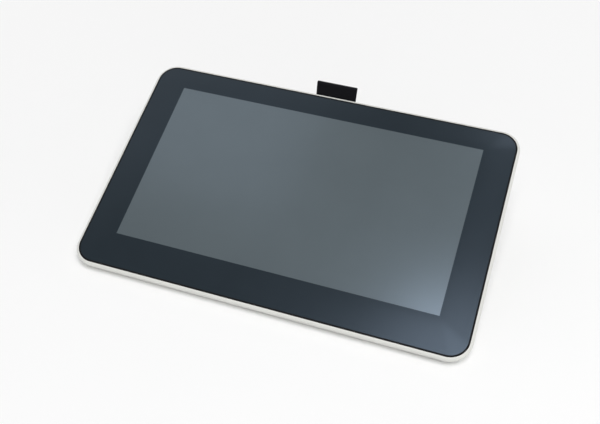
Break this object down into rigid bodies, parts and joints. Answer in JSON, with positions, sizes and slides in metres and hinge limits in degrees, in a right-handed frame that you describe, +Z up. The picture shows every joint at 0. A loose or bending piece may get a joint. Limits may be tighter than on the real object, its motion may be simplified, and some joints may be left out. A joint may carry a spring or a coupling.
{
  "type": "graphics tablet with screen",
  "caption": "Flat pen display: black glass front with an unlit screen, rounded off-white case, fabric pen loop on the top edge and legs that fold out of the back to tilt it for drawing.",
  "frame": {"origin": "on the table, under the middle of the box round the tilted tablet", "axes": "+X to the user's right, +Y away from the user towards the raised top edge, +Z up"},
  "size_m": [0.357, 0.2202, 0.0932],
  "materials": {
    "shell_plastic": "fine moulded texture",
    "frame_plastic": "moulded",
    "cover_glass": "etched anti-glare",
    "border_print": "printed",
    "tape": "foam tape",
    "display_glass": "unlit display",
    "diffuser": "frosted sheet",
    "acrylic": "polished",
    "lamp_strip": "soldered lamps",
    "tray_metal": "pressed sheet",
    "circuit_board": "solder mask",
    "flex_film": "polyimide film",
    "steel": "plain",
    "rubber": "moulded",
    "nib_plastic": "moulded",
    "webbing": "woven webbing"
  },
  "bodies": {
    "tablet": {"rear_cover": "shell_plastic", "front_frame": "frame_plastic", "power_switch": "frame_plastic", "cover_glass": "cover_glass", "border_film": "border_print", "glass_tape": "tape", "lcd_panel": "display_glass", "diffuser_sheets": "diffuser", "light_guide": "acrylic", "status_light_pipe": "acrylic", "led_strip": "lamp_strip", "backlight_tray": "tray_metal", "panel_driver_board": "circuit_board", "sensor_board": "circuit_board", "main_board": "circuit_board", "panel_flex_strips": "flex_film", "display_cable": "flex_film", "sensor_flex": "flex_film", "shield_plate": "steel", "shield_screws": "steel", "shield_can": "steel", "board_screws": "steel", "usb_c_socket": "steel", "leg_pin_left": "steel", "leg_pin_right": "steel", "case_screws": "steel", "loop_clamp": "steel", "loop_screws": "steel", "front_foot_left": "rubber", "front_foot_right": "rubber", "rear_foot_left": "rubber", "rear_foot_right": "rubber", "pen_loop": "webbing"},
    "leg_left": {"leg_left": "shell_plastic", "leg_pad_left": "rubber", "spare_nibs": "nib_plastic", "nib_remover": "steel"},
    "leg_right": {"leg_right": "shell_plastic", "leg_pad_right": "rubber"},
    "power_button": {"power_button": "shell_plastic"}
  },
  "joints": [
    {"name": "leg_left_fold", "type": "hinge", "parent": "tablet", "child": "leg_left", "pos_m": [-0.104, 0.07482, 0.06214], "axis": [1, 0, 0], "range_deg": [-79, 0]},
    {"name": "leg_right_fold", "type": "hinge", "parent": "tablet", "child": "leg_right", "pos_m": [0.104, 0.07482, 0.06214], "axis": [1, 0, 0], "range_deg": [-79, 0]},
    {"name": "power_button_press", "type": "slide", "parent": "tablet", "child": "power_button", "axis": [0, -0.9455, -0.3256], "range_m": [0, 0.0005], "stiffness_N_per_m": 3000}
  ]
}
